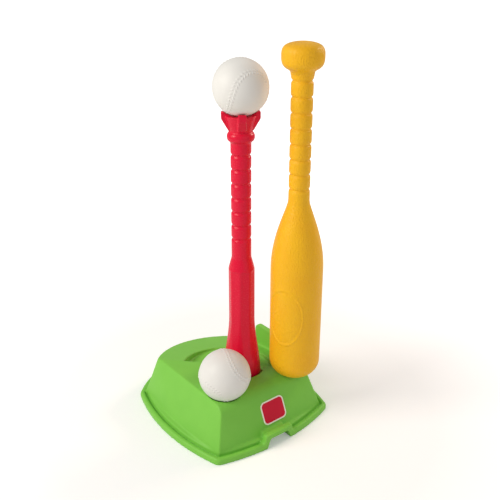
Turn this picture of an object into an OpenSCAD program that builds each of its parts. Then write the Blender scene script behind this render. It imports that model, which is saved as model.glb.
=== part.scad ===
// Toddler batting tee: moulded base, ribbed tee post, two balls and a bat.
// Origin: the tee's axis where its socket stands on the ground. +Z up, -Y towards the base's front corner,
// +X towards the bat. All lengths in millimetres.

/* [Base] */
// Side of the square that the base's four corners stand on
base_side = 250; // [230:5:280]
// Height of the flat deck above the ground
deck_h = 85; // [75:1:95]
// Lean of the side walls from upright, in degrees
wall_lean = 18; // [12:1:20]
// Fall of the back slope, in degrees
slope_fall = 11.3; // [8:0.1:14]
// Thickness of the moulded wall
wall = 3; // [2:0.5:4]
// Height of the flange round the foot
flange_h = 12; // [8:1:14]
// Bulge of the flange at the middle of each side
flange_bulge = 21; // [10:1:24]
// Bulge of the walls' foot at the middle of each side
foot_bulge = 8; // [4:1:10]
// Radius of the base's rounded back corner, from the base's centre
lobe_r = 172; // [168:1:175]
// Distance from the base's centre to the blunt corners of the flange
flange_corner_r = 176; // [172:0.5:176]

/* [Ball] */
// Diameter of the play ball
ball_d = 90; // [86:1:92]
// Wall of the hollow ball
ball_wall = 2.5; // [2:0.5:4]
// Height of the stored ball's centre above the ground
stored_ball_z = 118; // [116:1:120]
// Gap between a ball and the dish that holds it
dish_gap = 0.3; // [0.2:0.1:0.5]

/* [Tee post] */
// Height of the ball's centre when it sits on the tee
tee_ball_z = 590; // [580:5:610]
// Radius of the ribbed grip
grip_r = 16.9; // [15:0.1:18]
// Radius of the faceted lower column
column_r = 22.5; // [21:0.5:24]
// Radius of the flared foot
foot_r = 33.8; // [32:0.2:35]
// Number of grooves round the grip
tee_grooves = 7; // [4:1:7]
// Spacing of those grooves
tee_groove_pitch = 23.9; // [20:0.1:24]
// Radial clearance of the post's plug in its socket
plug_gap = 0.05; // [0.02:0.01:0.1]

/* [Bat] */
// Overall length of the bat
bat_len = 574; // [560:1:580]
// Radius of the barrel
barrel_r = 44.4; // [42:0.2:45]
// Radius of the handle
handle_r = 17.4; // [16:0.2:18]
// Number of grooves round the handle
bat_grooves = 8; // [4:1:8]
// Distance of the bat's axis from the tee's axis
bat_x = 94.5; // [92:0.5:96]

/* [Badge] */
// Width of the blank badge on the front face
badge_w = 50; // [40:1:54]
// Height of the badge, measured up the slope of the face
badge_h = 39; // [36:1:40]
// Thickness of the badge
badge_t = 1; // [0.6:0.1:1.4]

/* [Hidden] */
$fn = 96;

big = 600;
ball_r = ball_d / 2;
half_side = base_side / 2;
base_x = -20;
crest_y = 5;
flange_out = 7;

stored_ball_x = base_x;
stored_ball_y = -80;
dish_r = ball_r + dish_gap;

tee_hole_r = 39;
ledge_z = 50;
socket_r = 22;
plug_r = socket_r - plug_gap;
plug_end_z = 4;

pocket_x = -27;
pocket_r = 81;
pocket_z = 68;

bat_y = -4;
bat_z = deck_h + dish_gap;

tab_in = 102;
tab_t = 10;
tab_top_z = 108;
tab_start = -28;
tab_end = 58;
tab_round = 11;

notch_along = -7;
notch_foot_w = 54;
notch_top_w = 38;
notch_h = 18;
lintel = 9;
lintel_near = 134;
shelf = 3;
shelf_near = 118;

// Outward directions of the three straight side walls, in degrees
front_left = 225;
front_right = 315;
back_right = 45;

// Moves its children to the base's centre, turned so that +X points out of one side
module at_side(angle) {
    translate([base_x, crest_y, 0])
        rotate([0, 0, angle])
            children();
}

// The walls are built a little past the deck, which is then cut level
wall_top_z = deck_h + 5;
wall_shrink = (wall_top_z - flange_h) * tan(wall_lean);

// Outline of the walls' top: three straight sides and a round back corner
module top_outline(inset) {
    reach = half_side - flange_out - wall_shrink - inset;
    translate([base_x, crest_y])
        intersection() {
            rotate(back_right)
                translate([-reach, -reach])
                    square([2 * reach, 3 * reach]);
            circle(r = lobe_r - flange_out - wall_shrink - inset);
        }
}

// Everything below the deck and the back slope, which meet in a ridge at crest_y
module below_top(drop) {
    translate([-big / 2, -big / 2, deck_h - drop - big])
        cube(big);
}

module below_slope(drop) {
    translate([0, crest_y, deck_h - drop])
        rotate([-slope_fall, 0, 0])
            translate([-big / 2, -big / 2, -big])
                cube(big);
}

// The body of the base as a solid: its walls run from the bulged outline at the flange up to
// the straight edges of the deck. side moves the walls inwards, and drop lowers the top.
module base_block(side, drop) {
    intersection() {
        hull() {
            translate([0, 0, drop > 0 ? -1 : 0])
                linear_extrude(flange_h - 1)
                    foot_outline(side);
            translate([0, 0, wall_top_z])
                linear_extrude(1)
                    top_outline(side);
        }
        below_top(drop);
        below_slope(drop);
    }
}

// A square with three bulged sides and a round back corner; inset makes it smaller all round
module bulged_square(reach, bulge, round_r, inset, facets) {
    side_r = (reach * reach + bulge * bulge) / (2 * bulge);
    translate([base_x, crest_y])
        intersection() {
            bulged_side(front_left, reach + bulge, side_r, inset, facets);
            bulged_side(front_right, reach + bulge, side_r, inset, facets);
            bulged_side(back_right, reach + bulge, side_r, inset, facets);
            circle(r = round_r - inset);
        }
}

module bulged_side(angle, middle, side_r, inset, facets) {
    rotate(angle)
        translate([middle - side_r, 0])
            circle(r = side_r - inset, $fn = facets);
}

// Outline of the flange
module flange_outline(inset) {
    bulged_square(half_side, flange_bulge, flange_corner_r, inset, 256);
}

// Outline of the walls' foot, where they meet the flange
module foot_outline(inset) {
    bulged_square(half_side - flange_out, foot_bulge, lobe_r - flange_out, inset, 192);
}

// A trapezoid arch through the front-right side, as tall and wide as its arguments say
module notch_arch(foot_w, top_w, h, near, far) {
    at_side(front_right)
        translate([near, notch_along, 0])
            rotate([90, 0, 90])
                linear_extrude(far - near)
                    polygon([[-foot_w / 2, -1], [-top_w / 2, h], [top_w / 2, h], [foot_w / 2, -1]]);
}

// One step over the finger notch, t thick, from near out to the edge of the flange
module notch_step(t, near) {
    intersection() {
        linear_extrude(notch_h + t)
            flange_outline(0);
        notch_arch(notch_foot_w + 2 * t, notch_top_w + 2 * t, notch_h + t, near, half_side + 40);
    }
}

// The flange's rim steps over the finger notch, with a low shelf between it and the wall
module notch_lintel() {
    notch_step(lintel, lintel_near);
    notch_step(shelf, shelf_near);
}

// Half-round pocket behind the crest, grown by a skin all round
module pocket(skin) {
    intersection() {
        translate([pocket_x, crest_y, pocket_z - skin])
            cylinder(h = 60, r = pocket_r + skin);
        translate([-big / 2, crest_y - skin, 0])
            cube([big, big, big]);
    }
}

module stored_ball_dish(skin) {
    translate([stored_ball_x, stored_ball_y, stored_ball_z])
        sphere(r = dish_r + skin);
}

// Well round the tee's foot and the socket below it
module tee_well(skin) {
    translate([0, 0, ledge_z - skin])
        cylinder(h = 60, r = tee_hole_r + skin);
    floor_z = skin > 0 ? 0 : wall;
    translate([0, 0, floor_z])
        cylinder(h = ledge_z, r = socket_r + skin);
}

// Upright rounded tab on the back-right edge, behind the bat
module back_tab() {
    straight_top = tab_top_z - tab_round;
    at_side(back_right)
        translate([tab_in, 0, 0]) {
            translate([0, tab_start, ledge_z])
                cube([tab_t, tab_end - tab_start, straight_top - ledge_z]);
            translate([0, tab_start + tab_round, ledge_z])
                cube([tab_t, tab_end - tab_start - 2 * tab_round, tab_top_z - ledge_z]);
            for (end = [tab_start + tab_round, tab_end - tab_round])
                translate([0, end, straight_top])
                    rotate([0, 90, 0])
                        cylinder(h = tab_t, r = tab_round);
        }
}

// One-piece moulded base, open underneath
module base_shell() {
    color("limegreen")
        difference() {
            union() {
                base_block(0, 0);
                linear_extrude(flange_h)
                    flange_outline(0);
                notch_lintel();
                back_tab();
            }
            difference() {
                union() {
                    base_block(wall / cos(wall_lean), wall);
                    translate([0, 0, -1])
                        linear_extrude(flange_h - wall + 1)
                            flange_outline(wall);
                }
                stored_ball_dish(wall);
                pocket(wall);
                tee_well(wall);
                notch_lintel();
            }
            stored_ball_dish(0);
            pocket(0);
            tee_well(0);
            notch_arch(notch_foot_w, notch_top_w, notch_h, half_side - 30, half_side + 40);
        }
}

// Eased step from 0 to 1 as t goes from 0 to 1
function ease(t) = t * t * (3 - 2 * t);

column_top_z = 283;
flare_top_z = 190;
flare_end_z = 75;
flare_steps = 8;
shoulder_z = 305;
first_tee_groove_z = 340.1;
groove_depth = 1.7;
groove_half_w = 3;
groove_half_floor = 1.2;
collar_z = 513;
collar_half_h = 7.5;
neck_r = 18;
neck_z = 522;
tee_wall = 2.5;

// Points of one groove round a bar of radius r, from its lower lip to its upper lip
function groove(r, z) = [
    [r, z - groove_half_w], [r - groove_depth, z - groove_half_floor],
    [r - groove_depth, z + groove_half_floor], [r, z + groove_half_w]
];

function flare(inset) = [
    for (i = [0 : flare_steps])
        let (t = 1 - i / flare_steps)
        [column_r + (foot_r - column_r) * ease(t) - inset,
         flare_top_z - (flare_top_z - flare_end_z) * t]
];

collar = [
    for (a = [-90 : 30 : 90])
        [neck_r + (column_r - neck_r) * cos(a), collar_z + collar_half_h * sin(a)]
];

tee_outline = concat(
    [[0, plug_end_z], [plug_r, plug_end_z], [plug_r, ledge_z + dish_gap],
     [foot_r, ledge_z + dish_gap]],
    flare(0),
    [[column_r, column_top_z], [grip_r, shoulder_z]],
    [for (i = [0 : tee_grooves - 1])
        each groove(grip_r, first_tee_groove_z + i * tee_groove_pitch)],
    [[grip_r, collar_z - collar_half_h - 1]],
    collar,
    [[neck_r, neck_z + 2], [0, neck_z + 2]]
);

tee_hollow = concat(
    [[0, plug_end_z + wall], [plug_r - tee_wall, plug_end_z + wall],
     [plug_r - tee_wall, flare_end_z]],
    flare(tee_wall + 1),
    [[column_r - tee_wall - 1, column_top_z - wall],
     [grip_r - tee_wall - groove_depth, shoulder_z - wall],
     [grip_r - tee_wall - groove_depth, collar_z], [0, collar_z]]
);

flat_count = 8;
flat_depth = 1.2;

prong_w = 13;
prong_reach = 31;
prong_flare_z = 530;
prong_edge_z = 542;
prong_top_z = 553;
cup_rim_r = 26;
cup_rim_z = 547;
cup_turn = 12;

// Ball cradle: a flared cup with four prongs, dished to fit the ball
module cradle() {
    difference() {
        union() {
            translate([0, 0, neck_z])
                cylinder(h = cup_rim_z - neck_z, r1 = neck_r, r2 = cup_rim_r);
            for (turn = [0 : 90 : 270])
                rotate([0, 0, turn + cup_turn])
                    translate([0, prong_w / 2, 0])
                        rotate([90, 0, 0])
                            linear_extrude(prong_w)
                                polygon([[0, neck_z], [neck_r - 1, neck_z],
                                         [prong_reach - 7, prong_flare_z],
                                         [prong_reach, prong_edge_z],
                                         [prong_reach, prong_top_z], [0, prong_top_z]]);
        }
        translate([0, 0, tee_ball_z])
            sphere(r = dish_r);
    }
}

// Hollow tee post: plug, flared foot, faceted column, ribbed grip, collar and cradle
module tee_post() {
    color("crimson")
        difference() {
            union() {
                rotate_extrude()
                    polygon(tee_outline);
                cradle();
            }
            rotate_extrude()
                polygon(tee_hollow);
            for (i = [0 : flat_count - 1])
                rotate([0, 0, (i + 0.5) * 360 / flat_count])
                    translate([column_r - flat_depth, -column_r / 2, flare_top_z])
                        cube([10, column_r, column_top_z - flare_top_z]);
        }
}

// Hollow ball with its centre at the origin
module hollow_ball() {
    color("ivory")
        difference() {
            sphere(r = ball_r);
            sphere(r = ball_r - ball_wall);
        }
}

module tee_ball() {
    translate([0, 0, tee_ball_z])
        hollow_ball();
}

module stored_ball() {
    translate([stored_ball_x, stored_ball_y, stored_ball_z])
        hollow_ball();
}

end_flat_r = 15;
end_round = barrel_r - end_flat_r;
barrel_top = 205;
taper_end = 325;
taper_power = 1.25;
taper_steps = 10;
first_bat_groove = 346;
bat_groove_pitch = 24.5;
knob_r = 33;
knob_mid = bat_len - 20;
knob_low = 23;
knob_high = 20;
knob_power = 2.6;
bat_wall = 2.5;

// Radius of the knob at s, from -1 at its lower end to 1 at its top
function knob_radius(s) = knob_r * pow(1 - pow(abs(s), knob_power), 1 / knob_power);

function bat_end(inset) = [
    for (a = [0 : 15 : 90])
        [end_flat_r + (end_round - inset) * sin(a), end_round - (end_round - inset) * cos(a)]
];

function bat_taper(inset) = [
    for (i = [0 : taper_steps])
        let (t = i / taper_steps)
        [handle_r + (barrel_r - handle_r) * pow(1 - t * t, taper_power) - inset,
         barrel_top + t * (taper_end - barrel_top)]
];

bat_outline = concat(
    [[0, 0]],
    bat_end(0),
    bat_taper(0),
    [for (i = [0 : bat_grooves - 1])
        each groove(handle_r, first_bat_groove + i * bat_groove_pitch)],
    [for (s = [-0.93, -0.85, -0.7, -0.5, -0.25]) [knob_radius(s), knob_mid + s * knob_low]],
    [for (s = [0, 0.25, 0.5, 0.7, 0.85, 0.95]) [knob_radius(s), knob_mid + s * knob_high]],
    [[knob_radius(0.99), bat_len - 0.2], [0, bat_len]]
);

bat_hollow = concat(
    [[0, bat_wall]],
    bat_end(bat_wall),
    bat_taper(bat_wall + groove_depth),
    [[handle_r - bat_wall - groove_depth, bat_len - 12], [0, bat_len - 12]]
);

// Hollow bat standing on its barrel end
module bat() {
    color("gold")
        translate([bat_x, bat_y, bat_z])
            difference() {
                rotate_extrude()
                    polygon(bat_outline);
                rotate_extrude()
                    polygon(bat_hollow);
            }
}

badge_along = 6;
badge_reach = 112;
badge_mid_z = 44.5;
badge_lean = 23.5;
badge_corner = 9;

// Blank badge with round corners, a thin layer that follows the front-right wall
module badge() {
    color("firebrick")
        difference() {
            intersection() {
                base_block(-badge_t, 0);
                at_side(front_right)
                    translate([badge_reach, badge_along, badge_mid_z])
                        rotate([0, -badge_lean, 0])
                            rotate([90, 0, 90])
                                linear_extrude(10, center = true)
                                    rounded_rectangle(badge_w, badge_h, badge_corner);
            }
            base_block(0, 0);
        }
}

module rounded_rectangle(w, h, corner) {
    square([w - 2 * corner, h], center = true);
    square([w, h - 2 * corner], center = true);
    for (side_x = [-1, 1], side_y = [-1, 1])
        translate([side_x * (w / 2 - corner), side_y * (h / 2 - corner)])
            circle(r = corner);
}

base_shell();
tee_post();
tee_ball();
stored_ball();
bat();
badge();
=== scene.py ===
"""Toddler batting tee: moulded base, tee post, two play balls, bat and a blank badge."""

from math import cos, pi, radians, sin, sqrt, tan

import bpy
from mathutils import Euler, Matrix, Vector


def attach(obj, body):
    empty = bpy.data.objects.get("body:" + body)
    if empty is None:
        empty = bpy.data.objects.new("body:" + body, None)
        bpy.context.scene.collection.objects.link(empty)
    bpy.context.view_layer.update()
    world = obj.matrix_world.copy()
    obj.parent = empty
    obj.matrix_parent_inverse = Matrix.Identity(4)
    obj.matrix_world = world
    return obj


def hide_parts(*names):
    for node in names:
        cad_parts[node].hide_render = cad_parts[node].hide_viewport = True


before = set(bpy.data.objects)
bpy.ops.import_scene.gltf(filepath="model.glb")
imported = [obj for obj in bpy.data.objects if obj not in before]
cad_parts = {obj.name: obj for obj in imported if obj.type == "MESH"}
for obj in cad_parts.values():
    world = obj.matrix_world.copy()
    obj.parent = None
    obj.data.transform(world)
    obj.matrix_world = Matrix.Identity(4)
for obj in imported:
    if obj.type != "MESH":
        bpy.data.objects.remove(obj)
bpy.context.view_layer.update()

bpy.ops.object.select_all(action="DESELECT")


# ---------------------------------------------------------------------------
# Base
# The real base is one green moulding, open underneath: a leaning-walled body
# on a bulged foot flange, with a dish, a half-round pocket and a deep well.
# It is roughed out from plain solids, softened as one skin and given its wall.
# ---------------------------------------------------------------------------
base_middle = Vector((-0.020, 0.005, 0))
deck_height = 0.085
flange_height = 0.012
bead_height = 0.0138
crest_reach = 0.09428
crest_round = 0.1388
wall_lean = radians(18)
shoulder_radius = 0.022
shoulder_reach = 0.07985
slope_fall = radians(11.3)
base_wall = 0.003
base_voxel = 0.0016
front_left, front_right, back_right = radians(225), radians(315), radians(45)

# Outlines: reach at the corners, bulge at mid-side, and reach of the round back corner
flange_outline = (0.125, 0.021, 0.1755)
groove_outline = (0.1187, 0.0188, 0.1672)
bead_outline = (0.1151, 0.0179, 0.1627)
foot_outline = (0.1155, 0.0105, 0.1645)


def only(obj):
    """Makes obj the one selected and active object."""
    bpy.ops.object.select_all(action="DESELECT")
    obj.select_set(True)
    bpy.context.view_layer.objects.active = obj


def apply_place(obj):
    """Bakes the object's place into its mesh, so that it sits at the origin."""
    only(obj)
    bpy.ops.object.transform_apply(location=True, rotation=True, scale=True)


def boolean(obj, tool, operation):
    """Joins, cuts or intersects obj with tool, and removes the tool."""
    only(obj)
    bpy.ops.object.modifier_add(type="BOOLEAN")
    cut = obj.modifiers[-1]
    cut.operation = operation
    cut.solver = "EXACT"
    cut.object = tool
    bpy.ops.object.modifier_apply(modifier=cut.name)
    bpy.data.objects.remove(tool)


def soften(obj, voxel, rounds, strength=0.5):
    """Turns the rough solid into one even skin and rounds its edges."""
    only(obj)
    bpy.ops.object.modifier_add(type="REMESH")
    skin = obj.modifiers[-1]
    skin.mode = "VOXEL"
    skin.voxel_size = voxel
    bpy.ops.object.modifier_apply(modifier=skin.name)
    bpy.ops.object.modifier_add(type="SMOOTH")
    smooth = obj.modifiers[-1]
    smooth.factor = strength
    smooth.iterations = rounds
    bpy.ops.object.modifier_apply(modifier=smooth.name)
    bpy.ops.object.shade_smooth()


def join_to(obj, part):
    """Adds part to obj as it is; one skin is drawn round both later."""
    bpy.ops.object.select_all(action="DESELECT")
    part.select_set(True)
    obj.select_set(True)
    bpy.context.view_layer.objects.active = obj
    bpy.ops.object.join()


def outward(angle):
    return Vector((cos(angle), sin(angle), 0))


def cut_by_plane(point, normal):
    """In edit mode, removes all that lies beyond a plane and closes the cut."""
    bpy.ops.mesh.select_all(action="SELECT")
    bpy.ops.mesh.bisect(plane_co=point, plane_no=normal, use_fill=True, clear_outer=True)


def bevel_edges(obj, width, segments, wanted):
    """Rounds the edges of obj for whose two ends wanted is true."""
    only(obj)
    bpy.ops.object.mode_set(mode="EDIT")
    bpy.ops.mesh.select_all(action="DESELECT")
    bpy.ops.mesh.select_mode(type="EDGE")
    bpy.ops.object.mode_set(mode="OBJECT")
    points = obj.data.vertices
    for edge in obj.data.edges:
        edge.select = wanted(*[points[i].co for i in edge.vertices])
    bpy.ops.object.mode_set(mode="EDIT")
    bpy.ops.mesh.bevel(offset=width, segments=segments, affect="EDGES")
    bpy.ops.object.mode_set(mode="OBJECT")


def bulged_plate(name, height, reach, bulge, round_reach):
    """A plate with three bulged sides and a round back corner, standing on the floor."""
    side_radius = (reach * reach + bulge * bulge) / (2 * bulge)
    bpy.ops.mesh.primitive_cylinder_add(
        vertices=256, radius=round_reach, depth=height, end_fill_type="NGON",
        location=base_middle + Vector((0, 0, height / 2)))
    plate = bpy.context.object
    plate.name = name
    apply_place(plate)
    for side in (front_left, front_right, back_right):
        centre = base_middle + outward(side) * (reach + bulge - side_radius)
        bpy.ops.mesh.primitive_cylinder_add(
            vertices=768, radius=side_radius, depth=0.2, end_fill_type="NGON", location=centre)
        boolean(plate, bpy.context.object, "INTERSECT")
    return plate


def body_block(name):
    """The body's solid: straight edges at the top run down to the bulged foot, and the
    front-right top edge is a wide round shoulder."""
    block = bulged_plate(name, flange_height, *foot_outline)
    lean = radians(23.5)
    for step in range(9):
        swing = (pi / 2 - lean) * step / 8
        z = deck_height - shoulder_radius * (1 - cos(swing))
        spread = (deck_height - z) * tan(wall_lean)
        bpy.ops.mesh.primitive_circle_add(
            vertices=192, radius=crest_round + spread, fill_type="NGON",
            location=base_middle + Vector((0, 0, z)))
        level = bpy.context.object
        apply_place(level)
        bpy.ops.object.mode_set(mode="EDIT")
        for side, reach in ((front_left, crest_reach + spread),
                            (back_right, crest_reach + spread),
                            (front_right, shoulder_reach + shoulder_radius * sin(swing))):
            bpy.ops.mesh.select_all(action="SELECT")
            bpy.ops.mesh.bisect(plane_co=base_middle + outward(side) * reach,
                                plane_no=outward(side), clear_outer=True)
        bpy.ops.object.mode_set(mode="OBJECT")
        join_to(block, level)
    bpy.ops.object.mode_set(mode="EDIT")
    bpy.ops.mesh.select_all(action="SELECT")
    bpy.ops.mesh.convex_hull()
    cut_by_plane((0, base_middle.y, deck_height), (0, sin(slope_fall), cos(slope_fall)))
    bpy.ops.object.mode_set(mode="OBJECT")
    return block


def notch_prism(name, foot_width, top_width, height, near, far):
    """A trapezoid tunnel through the front-right side, from near to far along its normal."""
    bpy.ops.mesh.primitive_cube_add(size=1, location=(0, 0, 0))
    prism = bpy.context.object
    prism.name = name
    prism.scale = (far - near, foot_width, height + 0.004)
    prism.location = ((far + near) / 2, -0.007, (height - 0.004) / 2)
    apply_place(prism)
    bpy.ops.object.mode_set(mode="EDIT")
    bpy.ops.mesh.select_all(action="DESELECT")
    bpy.ops.object.mode_set(mode="OBJECT")
    for point in prism.data.vertices:
        point.select = point.co.z > 0
    bpy.ops.object.mode_set(mode="EDIT")
    bpy.ops.transform.resize(
        value=(1, top_width / foot_width, 1), center_override=(0, -0.007, height))
    bpy.ops.object.mode_set(mode="OBJECT")
    prism.matrix_world = Matrix.Translation(base_middle) @ Matrix.Rotation(front_right, 4, "Z")
    apply_place(prism)
    return prism


base = body_block("base_moulding")

# The flange: a rounded bead, a narrow groove and a second, lower bead against the wall
flange = bulged_plate("flange", flange_height, *flange_outline)
bevel_edges(flange, 0.0045, 4, lambda a, b: min(a.z, b.z) > flange_height - 1e-4)
groove = bulged_plate("groove", 0.03, *groove_outline)
boolean(groove, bulged_plate("groove_core", 0.04, *bead_outline), "DIFFERENCE")
groove.location = (0, 0, 0.0055)
apply_place(groove)
boolean(flange, groove, "DIFFERENCE")
inner_bead = bulged_plate("inner_bead", bead_height, *bead_outline)
bevel_edges(inner_bead, 0.003, 3, lambda a, b: min(a.z, b.z) > bead_height - 1e-4)
join_to(base, inner_bead)
join_to(base, flange)

# The bead steps over the finger notch, with a low shelf between it and the wall
notch_foot, notch_top, notch_height = 0.054, 0.038, 0.018
for step, near in ((0.009, 0.134), (0.003, 0.112)):
    lintel = notch_prism("lintel", notch_foot + 2 * step, notch_top + 2 * step,
                         notch_height + step, near, 0.165)
    limit = bulged_plate("lintel_limit", notch_height + step, *flange_outline)
    boolean(lintel, limit, "INTERSECT")
    join_to(base, lintel)

# The upright rounded tab on the back-right edge
bpy.ops.mesh.primitive_cube_add(size=1)
tab = bpy.context.object
tab.scale = (0.010, 0.086, 0.058)
tab.location = (0.107, 0.015, 0.079)
apply_place(tab)
bevel_edges(tab, 0.011, 10, lambda a, b: min(a.z, b.z) > 0.1 and abs(a.y - b.y) < 1e-4)
tab.matrix_world = Matrix.Translation(base_middle) @ Matrix.Rotation(back_right, 4, "Z")
apply_place(tab)
join_to(base, tab)
soften(base, base_voxel, 0)

# The half-round pocket, the ball's dish, the tee's well and its socket
bpy.ops.mesh.primitive_cylinder_add(
    vertices=192, radius=0.081, depth=0.06, end_fill_type="NGON", location=(-0.027, 0.005, 0.0965))
pocket = bpy.context.object
apply_place(pocket)
bpy.ops.object.mode_set(mode="EDIT")
cut_by_plane((0, base_middle.y, 0), (0, -1, 0))
bpy.ops.object.mode_set(mode="OBJECT")
boolean(base, pocket, "DIFFERENCE")
bpy.ops.mesh.primitive_uv_sphere_add(
    segments=96, ring_count=64, radius=0.0459, location=(-0.020, -0.080, 0.118))
boolean(base, bpy.context.object, "DIFFERENCE")
bpy.ops.mesh.primitive_cylinder_add(
    vertices=128, radius=0.039, depth=0.06, end_fill_type="NGON", location=(0, 0, 0.080))
boolean(base, bpy.context.object, "DIFFERENCE")
bpy.ops.mesh.primitive_cylinder_add(
    vertices=96, radius=0.0228, depth=0.07, end_fill_type="NGON", location=(0, 0, 0.038))
boolean(base, bpy.context.object, "DIFFERENCE")
notch = notch_prism("notch", notch_foot, notch_top, notch_height, 0.096, 0.17)
boolean(base, notch, "DIFFERENCE")

soften(base, base_voxel, 3)
bpy.ops.object.modifier_add(type="DECIMATE")
fewer = base.modifiers[-1]
fewer.ratio = 0.34
bpy.ops.object.modifier_apply(modifier=fewer.name)

# The skin is opened underneath and at the inner end of the notch, then given its wall
only(base)
bpy.ops.object.mode_set(mode="EDIT")
bpy.ops.mesh.select_mode(type="FACE")
bpy.ops.mesh.select_all(action="DESELECT")
bpy.ops.object.mode_set(mode="OBJECT")
notch_out = outward(front_right)
for face in base.data.polygons:
    reach = (face.center - base_middle).dot(notch_out)
    at_notch_end = face.normal.dot(notch_out) > 0.8 and 0.090 < reach < 0.0985
    face.select = (face.normal.z < -0.8 and face.center.z < 0.0016) or (
        at_notch_end and face.center.z < 0.017)
bpy.ops.object.mode_set(mode="EDIT")
bpy.ops.mesh.delete(type="FACE")
bpy.ops.object.mode_set(mode="OBJECT")
bpy.ops.object.modifier_add(type="SOLIDIFY")
skin = base.modifiers[-1]
skin.thickness = base_wall
skin.offset = -1
bpy.ops.object.modifier_apply(modifier=skin.name)


def plastic(name, colour, deeper, roughness, grain, grain_depth, stretch=(1, 1, 1)):
    """Moulded plastic: faint clouding of the colour, fine grained skin, uneven gloss."""
    material = bpy.data.materials.new(name)
    material.use_nodes = True
    nodes, links = material.node_tree.nodes, material.node_tree.links
    shader = nodes["Principled BSDF"]
    shader.inputs["Specular IOR Level"].default_value = 0.25
    place = nodes.new("ShaderNodeTexCoord")
    turn = nodes.new("ShaderNodeMapping")
    turn.inputs["Scale"].default_value = stretch
    links.new(place.outputs["Object"], turn.inputs["Vector"])

    cloud = nodes.new("ShaderNodeTexNoise")
    cloud.inputs["Scale"].default_value = 28
    cloud.inputs["Detail"].default_value = 3
    links.new(place.outputs["Object"], cloud.inputs["Vector"])
    tint = nodes.new("ShaderNodeMix")
    tint.data_type = "RGBA"
    tint.inputs["A"].default_value = (*colour, 1)
    tint.inputs["B"].default_value = (*deeper, 1)
    links.new(cloud.outputs["Fac"], tint.inputs["Factor"])
    links.new(tint.outputs["Result"], shader.inputs["Base Color"])

    skin = nodes.new("ShaderNodeTexNoise")
    skin.inputs["Scale"].default_value = grain
    skin.inputs["Detail"].default_value = 2
    links.new(turn.outputs["Vector"], skin.inputs["Vector"])
    gloss = nodes.new("ShaderNodeMapRange")
    gloss.inputs["To Min"].default_value = roughness - 0.05
    gloss.inputs["To Max"].default_value = roughness + 0.07
    links.new(skin.outputs["Fac"], gloss.inputs["Value"])
    links.new(gloss.outputs["Result"], shader.inputs["Roughness"])
    bump = nodes.new("ShaderNodeBump")
    bump.inputs["Strength"].default_value = 0.6
    bump.inputs["Distance"].default_value = grain_depth
    links.new(skin.outputs["Fac"], bump.inputs["Height"])
    links.new(bump.outputs["Normal"], shader.inputs["Normal"])
    return material


def finish_with(obj, material):
    obj.data.materials.clear()
    obj.data.materials.append(material)


finish_with(base, plastic("green_plastic", (0.235, 0.630, 0.080), (0.205, 0.580, 0.070),
                          0.42, 620, 0.00022))
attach(base, "base")
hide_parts("base_shell")


# ---------------------------------------------------------------------------
# Badge
# A thin badge stuck to the front-right wall: a red field in a raised cream
# border with round corners. Its field is left blank.
# ---------------------------------------------------------------------------
badge_width, badge_height, badge_corner = 0.0505, 0.041, 0.009
badge_lean = radians(23.5)
badge_thickness, badge_border = 0.0010, 0.0022
bpy.ops.mesh.primitive_plane_add(size=1)
badge = bpy.context.object
badge.name = "badge_plate"
badge.scale = (badge_width, badge_height, 1)
apply_place(badge)
bpy.ops.object.mode_set(mode="EDIT")
bpy.ops.mesh.select_all(action="SELECT")
bpy.ops.mesh.bevel(offset=badge_corner, segments=10, affect="VERTICES")
bpy.ops.mesh.select_all(action="SELECT")
bpy.ops.mesh.extrude_region_move(TRANSFORM_OT_translate={"value": (0, 0, badge_thickness - 0.0002)})
bpy.ops.mesh.inset(thickness=0.0003, depth=0.0002)
bpy.ops.mesh.inset(thickness=badge_border - 0.0003)
bpy.ops.mesh.inset(thickness=0.0003, depth=-0.0003)
bpy.ops.mesh.select_all(action="SELECT")
bpy.ops.mesh.normals_make_consistent(inside=False)
bpy.ops.object.mode_set(mode="OBJECT")

badge_border_plastic = plastic("badge_cream", (0.99, 0.97, 0.88), (0.97, 0.94, 0.83),
                               0.30, 700, 0.00005)
badge_field_plastic = plastic("badge_red_film", (0.78, 0.006, 0.042), (0.66, 0.004, 0.034),
                              0.34, 700, 0.00005)
badge.data.materials.append(badge_border_plastic)
badge.data.materials.append(badge_field_plastic)
for face in badge.data.polygons:
    inner = abs(face.center.x) < 1e-3 and abs(face.center.y) < 1e-3 and face.center.z > 0
    face.material_index = 1 if inner else 0

badge_across = Vector((-sin(front_right), cos(front_right), 0))
badge_up = Vector((0, 0, cos(badge_lean))) - outward(front_right) * sin(badge_lean)
badge_normal = badge_across.cross(badge_up)
badge_place = (base_middle + outward(front_right) * 0.1119 + badge_across * 0.006
               + Vector((0, 0, 0.0445)) - badge_normal * 0.0002)
badge.matrix_world = Matrix.Translation(badge_place) @ Matrix(
    (badge_across, badge_up, badge_normal)).transposed().to_4x4()
apply_place(badge)
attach(badge, "base")
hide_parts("badge")


# ---------------------------------------------------------------------------
# Tee post
# One hollow red moulding, pushed into the base's socket: plug, flared foot,
# eight-sided column, ribbed grip, collar and the pronged cradle for the ball.
# ---------------------------------------------------------------------------
tee_ball_height = 0.590
ball_radius = 0.045


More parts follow.
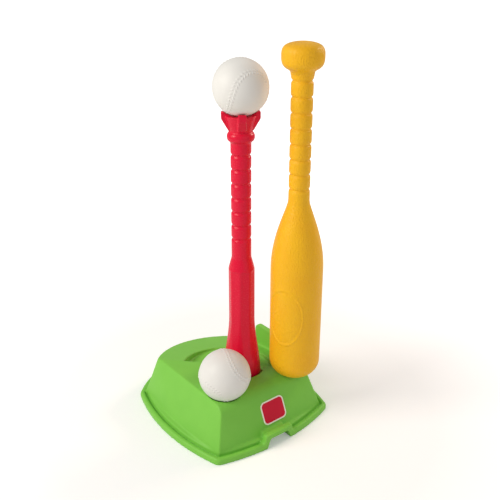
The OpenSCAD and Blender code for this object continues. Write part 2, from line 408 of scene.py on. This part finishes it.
def turned(name, profile, steps):
    """Spins a profile of (radius, height) points round the upright axis into a solid."""
    bpy.ops.object.select_all(action="DESELECT")
    bpy.ops.mesh.primitive_plane_add(size=0.01, enter_editmode=True)
    solid = bpy.context.object
    solid.name = name
    bpy.ops.mesh.select_mode(type="VERT")
    bpy.ops.mesh.select_all(action="SELECT")
    bpy.ops.mesh.merge(type="CENTER")
    bpy.ops.transform.translate(value=(profile[0][0], 0, profile[0][1]))
    for (r_from, z_from), (r_to, z_to) in zip(profile, profile[1:]):
        bpy.ops.mesh.extrude_vertices_move(
            TRANSFORM_OT_translate={"value": (r_to - r_from, 0, z_to - z_from)})
    bpy.ops.mesh.select_all(action="SELECT")
    bpy.ops.mesh.spin(steps=steps, angle=2 * pi, center=(0, 0, 0), axis=(0, 0, 1))
    bpy.ops.mesh.select_all(action="SELECT")
    bpy.ops.mesh.remove_doubles(threshold=1e-5)
    bpy.ops.mesh.normals_make_consistent(inside=False)
    bpy.ops.object.mode_set(mode="OBJECT")
    return solid


def grooves(radius, first, pitch, count, depth):
    """Profile points of a row of round-lipped grooves."""
    lip = ((0.0042, 0), (0.0030, 0.12), (0.0018, 0.5), (0.0007, 1))
    points = []
    for i in range(count):
        middle = first + i * pitch
        points += [(radius - share * depth, middle - off) for off, share in lip]
        points += [(radius - share * depth, middle + off) for off, share in reversed(lip)]
    return points


def eased(t):
    return t * t * (3 - 2 * t)


column_radius, column_top = 0.0225, 0.283
flare_low, flare_high, foot_radius = 0.075, 0.190, 0.0336
grip_radius = 0.0169
flare = []
for i in range(13):
    t = 1 - i / 12
    flare.append((column_radius + (foot_radius - column_radius) * eased(t),
                  flare_high - (flare_high - flare_low) * t))
collar_middle, collar_half, neck_radius = 0.513, 0.0075, 0.018
collar = [(neck_radius + 0.0045 * cos(radians(a)), collar_middle + collar_half * sin(radians(a)))
          for a in range(-90, 91, 15)]
post = turned(
    "tee_post_moulding",
    [(0, 0.0045), (0.0200, 0.0045), (0.0215, 0.006), (0.0215, 0.0506), (foot_radius, 0.0506)]
    + flare + [(column_radius, column_top), (0.0197, 0.2945), (grip_radius, 0.305)]
    + grooves(grip_radius, 0.3401, 0.0239, 7, 0.0023)
    + [(grip_radius, 0.5035)] + collar + [(neck_radius, 0.524), (0, 0.524)], 96)

# Eight long flats down the column, which end in square ledges and fade out on the flare
flat_corner = cos(pi / 8)
flats = turned(
    "flats",
    [(0, -0.01), (0.06, -0.01), (0.06, 0.06)]
    + [((r + 0.0005 - 0.00175 * eased((z - flare_low) / (flare_high - flare_low))) / flat_corner, z)
       for r, z in flare]
    + [((column_radius - 0.00125) / flat_corner, column_top), (0.06, column_top + 0.0006),
       (0.06, 0.56), (0, 0.56)], 8)
boolean(post, flats, "INTERSECT")

# The cradle: a cup with four blunt prongs, dished to the ball
bpy.ops.mesh.primitive_cone_add(
    vertices=96, radius1=0.018, radius2=0.026, depth=0.025, end_fill_type="NGON",
    location=(0, 0, 0.5345))
boolean(post, bpy.context.object, "UNION")
prong_reach, prong_width = 0.031, 0.013
for i in range(4):
    bpy.ops.mesh.primitive_cube_add(size=1)
    prong = bpy.context.object
    prong.scale = (prong_reach, prong_width, 0.030)
    prong.location = (prong_reach / 2, 0, 0.538)
    apply_place(prong)
    bpy.ops.object.mode_set(mode="EDIT")
    bpy.ops.mesh.select_all(action="SELECT")
    bpy.ops.mesh.bisect(plane_co=(prong_reach, 0, 0.542), plane_no=(0.86, 0, -0.51),
                        use_fill=True, clear_outer=True)
    bpy.ops.object.mode_set(mode="OBJECT")
    prong.matrix_world = Matrix.Rotation(radians(12 + 90 * i), 4, "Z")
    apply_place(prong)
    boolean(post, prong, "UNION")
bpy.ops.mesh.primitive_uv_sphere_add(
    segments=96, ring_count=64, radius=ball_radius + 0.0006, location=(0, 0, tee_ball_height))
boolean(post, bpy.context.object, "DIFFERENCE")
soften(post, 0.00115, 3)
finish_with(post, plastic("red_plastic", (0.800, 0.006, 0.045), (0.740, 0.005, 0.038),
                          0.25, 520, 0.00008))
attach(post, "tee")
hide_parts("tee_post")


# ---------------------------------------------------------------------------
# Balls
# Two equal hollow white balls. Each has a seam of moulded-in chevron stitches,
# and each lies at its own turn: one on the cradle, one in the base's dish.
# ---------------------------------------------------------------------------
stitch_pairs = 84


def seam_point(t):
    """A point of the seam's closed curve on a ball of radius 1."""
    return Vector((0.75 * cos(t) + 0.25 * cos(3 * t),
                   0.75 * sin(t) - 0.25 * sin(3 * t),
                   0.8660 * sin(2 * t))).normalized()


def play_ball(name, centre, turn):
    """A ball with its stitches in one skin, turned and set down at its centre."""
    bpy.ops.object.select_all(action="DESELECT")
    bpy.ops.mesh.primitive_uv_sphere_add(segments=128, ring_count=64, radius=ball_radius - 0.0006)
    ball = bpy.context.object
    ball.name = name
    bpy.ops.mesh.primitive_uv_sphere_add(segments=8, ring_count=6, radius=1)
    stitch = bpy.context.object
    stitch.scale = (0.0027, 0.0009, 0.0014)
    apply_place(stitch)
    stitches = []
    for i in range(stitch_pairs):
        t = 2 * pi * i / stitch_pairs
        up = seam_point(t)
        along = (seam_point(t + 0.01) - seam_point(t - 0.01)).normalized()
        side = up.cross(along)
        for hand in (-1, 1):
            out = (up + side * (hand * 0.062)).normalized()
            run = (side * hand + along * 0.9)
            run = (run - out * run.dot(out)).normalized()
            copy = bpy.data.objects.new("stitch", stitch.data.copy())
            bpy.context.collection.objects.link(copy)
            copy.matrix_world = Matrix.Translation(out * (ball_radius - 0.0009)) @ Matrix(
                (run, out.cross(run), out)).transposed().to_4x4()
            stitches.append(copy)
    bpy.data.objects.remove(stitch)
    bpy.ops.object.select_all(action="DESELECT")
    for copy in stitches:
        copy.select_set(True)
    ball.select_set(True)
    bpy.context.view_layer.objects.active = ball
    bpy.ops.object.join()
    soften(ball, 0.0008, 1)
    ball.matrix_world = Matrix.Translation(centre) @ Euler(turn, "XYZ").to_matrix().to_4x4()
    apply_place(ball)
    return ball


white_plastic = plastic("white_plastic", (0.86, 0.85, 0.82), (0.82, 0.81, 0.78),
                        0.42, 900, 0.00008)
top_ball = play_ball("top_ball", (0, 0, tee_ball_height),
                     (radians(199), radians(-10), radians(79)))
finish_with(top_ball, white_plastic)
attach(top_ball, "ball_on_tee")
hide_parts("tee_ball")

front_ball = play_ball("front_ball", (-0.020, -0.080, 0.118),
                       (radians(266), radians(175), radians(202)))
finish_with(front_ball, white_plastic)
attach(front_ball, "ball_in_base")
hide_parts("stored_ball")


# ---------------------------------------------------------------------------
# Bat
# One hollow yellow moulding standing on its barrel: fat barrel, ribbed handle
# and a broad knob, all in a grained skin, with a plain oval on the barrel.
# ---------------------------------------------------------------------------
bat_place = Vector((0.0945, -0.004, 0.0853))
barrel_radius, handle_radius, bat_length = 0.0444, 0.0174, 0.574
end_flat = 0.015
end_round = barrel_radius - end_flat
barrel_top, taper_end = 0.205, 0.325
row = 0.0016

bat_profile = [(0, 0), (end_flat * 0.5, 0)]
bat_profile += [(end_flat + end_round * sin(radians(a)), end_round * (1 - cos(radians(a))))
                for a in range(0, 91, 5)]
rows = int((barrel_top - end_round) / row)
bat_profile += [(barrel_radius, end_round + (barrel_top - end_round) * (i + 1) / rows)
                for i in range(rows - 1)]
for i in range(41):
    t = i / 40
    bat_profile.append((handle_radius + (barrel_radius - handle_radius) * (1 - t * t) ** 1.25,
                        barrel_top + t * (taper_end - barrel_top)))
bat_profile += grooves(handle_radius, 0.346, 0.0245, 8, 0.0023)
knob_radius, knob_middle = 0.033, bat_length - 0.020
for i in range(-14, 15):
    s = i / 15
    half = 0.023 if s < 0 else 0.020
    bat_profile.append((knob_radius * (1 - abs(s) ** 3) ** (1 / 3), knob_middle + s * half))
bat_profile += [(0.014, bat_length - 0.0003), (0.0115, bat_length), (0.0085, bat_length - 0.0008),
                (0.004, bat_length - 0.0016), (0, bat_length - 0.0018)]
bat = turned("bat_moulding", bat_profile, 240)

# The oval: a raised rim with a fine gutter inside it
oval_angle, oval_height = radians(-115), 0.1287
oval_half_arc, oval_half_height = 0.0337, 0.0515


def oval_reach(point):
    """0 at the oval's middle, 1 on its rim."""
    away = (Vector((cos(oval_angle), sin(oval_angle))).angle_signed(
        Vector((point.x, point.y)), 0)) if point.xy.length > 1e-4 else pi
    return sqrt((away * barrel_radius / oval_half_arc) ** 2
                + ((point.z - oval_height) / oval_half_height) ** 2)


def press_ring(obj, low, high, depth):
    """Moves the rows of points between two ovals out along the skin by depth."""
    only(obj)
    bpy.ops.object.mode_set(mode="EDIT")
    bpy.ops.mesh.select_mode(type="VERT")
    bpy.ops.mesh.select_all(action="DESELECT")
    bpy.ops.object.mode_set(mode="OBJECT")
    for point in obj.data.vertices:
        point.select = low < oval_reach(point.co) < high and 0.03 < point.co.z < 0.22
    bpy.ops.object.mode_set(mode="EDIT")
    bpy.ops.transform.shrink_fatten(value=depth)
    bpy.ops.object.mode_set(mode="OBJECT")


press_ring(bat, 0.955, 1.045, 0.0005)
press_ring(bat, 0.975, 1.025, 0.0004)
press_ring(bat, 0.900, 0.955, -0.0005)
bpy.ops.object.modifier_add(type="SMOOTH")
ease = bat.modifiers[-1]
ease.factor = 0.5
ease.iterations = 2
bpy.ops.object.modifier_apply(modifier=ease.name)
bpy.ops.object.shade_smooth()
bat.location = bat_place
apply_place(bat)
finish_with(bat, plastic("yellow_plastic", (0.985, 0.560, 0.014), (0.960, 0.470, 0.010),
                         0.36, 400, 0.0022, stretch=(1, 1, 0.7)))
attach(bat, "bat_body")
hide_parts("bat")


# ---------------------------------------------------------------------------
# Floor, light and camera
# A white floor that keeps the object's soft shadow, with painted shade round its middle,
# a broad soft key from the left, a weak fill from the right and a small rim light behind.
# ---------------------------------------------------------------------------
bpy.ops.mesh.primitive_plane_add(size=40)
floor = bpy.context.object
floor.name = "floor"
floor_white = bpy.data.materials.new("floor_white")
floor_white.use_nodes = True
floor_nodes, floor_links = floor_white.node_tree.nodes, floor_white.node_tree.links
floor_shader = floor_nodes["Principled BSDF"]
floor_shader.inputs["Base Color"].default_value = (0.90, 0.90, 0.90, 1)
floor_shader.inputs["Roughness"].default_value = 0.9
floor_shader.inputs["Specular IOR Level"].default_value = 0.1
floor_rays = floor_nodes.new("ShaderNodeLightPath")
floor_glow = floor_nodes.new("ShaderNodeEmission")
floor_place = floor_nodes.new("ShaderNodeTexCoord")
floor_distance = floor_nodes.new("ShaderNodeVectorMath")
floor_distance.operation = "LENGTH"
# Painted shade: the floor's glow, seen only by the camera, is weaker near the middle, so the floor
# round the object is painted darker besides its real shadow.
floor_painted_shade = floor_nodes.new("ShaderNodeMapRange")
floor_painted_shade.inputs["From Min"].default_value = 0.35
floor_painted_shade.inputs["From Max"].default_value = 1.3
floor_painted_shade.inputs["To Min"].default_value = 0.22
floor_painted_shade.inputs["To Max"].default_value = 0.9
floor_links.new(floor_place.outputs["Object"], floor_distance.inputs[0])
floor_links.new(floor_distance.outputs["Value"], floor_painted_shade.inputs["Value"])
floor_links.new(floor_painted_shade.outputs["Result"], floor_glow.inputs["Strength"])
floor_sum = floor_nodes.new("ShaderNodeAddShader")
floor_pick = floor_nodes.new("ShaderNodeMixShader")
floor_links.new(floor_shader.outputs["BSDF"], floor_sum.inputs[0])
floor_links.new(floor_glow.outputs["Emission"], floor_sum.inputs[1])
floor_links.new(floor_rays.outputs["Is Camera Ray"], floor_pick.inputs["Fac"])
floor_links.new(floor_shader.outputs["BSDF"], floor_pick.inputs[1])
floor_links.new(floor_sum.outputs["Shader"], floor_pick.inputs[2])
floor_links.new(floor_pick.outputs["Shader"], floor_nodes["Material Output"].inputs["Surface"])
floor.data.materials.append(floor_white)


def soft_lamp(name, place, aim, size, power, tint):
    """A square area lamp at place, facing aim, in its own tint of white."""
    bpy.ops.object.light_add(type="AREA", location=place)
    lamp = bpy.context.object
    lamp.name = name
    lamp.data.size = size
    lamp.data.energy = power
    lamp.data.color = tint
    lamp.rotation_euler = (Vector(aim) - Vector(place)).to_track_quat("-Z", "Y").to_euler()


middle = (0, 0, 0.3)
soft_lamp("key", (-1.7, -0.9, 1.6), middle, 1.3, 35, (1, 0.95, 0.87))
soft_lamp("fill", (1.4, -1.3, 0.9), middle, 1.6, 3.5, (1, 0.86, 0.76))
soft_lamp("rim", (1.3, 1.1, 1.3), middle, 0.5, 12, (1, 0.80, 0.66))

scene = bpy.context.scene
world = bpy.data.worlds.new("studio")
scene.world = world
world.use_nodes = True
world_nodes, world_links = world.node_tree.nodes, world.node_tree.links
world_back = world_nodes["Background"]
world_back.inputs["Color"].default_value = (1, 1, 1, 1)
world_rays = world_nodes.new("ShaderNodeLightPath")
world_seen = world_nodes.new("ShaderNodeMath")
world_seen.operation = "MAXIMUM"
world_level = world_nodes.new("ShaderNodeMapRange")
world_level.inputs["To Min"].default_value = 0.42
world_level.inputs["To Max"].default_value = 1.0
world_links.new(world_rays.outputs["Is Camera Ray"], world_seen.inputs[0])
world_links.new(world_rays.outputs["Is Transmission Ray"], world_seen.inputs[1])
world_links.new(world_seen.outputs["Value"], world_level.inputs["Value"])
world_links.new(world_level.outputs["Result"], world_back.inputs["Strength"])
scene.view_settings.view_transform = "Standard"

bpy.ops.object.camera_add(location=(0.1339, -1.0729, 0.7980),
                          rotation=(radians(66), 0, radians(6.35)))
camera = bpy.context.object
camera.name = "camera"
camera.data.lens = 50.4
camera.data.sensor_width = 36
scene.camera = camera
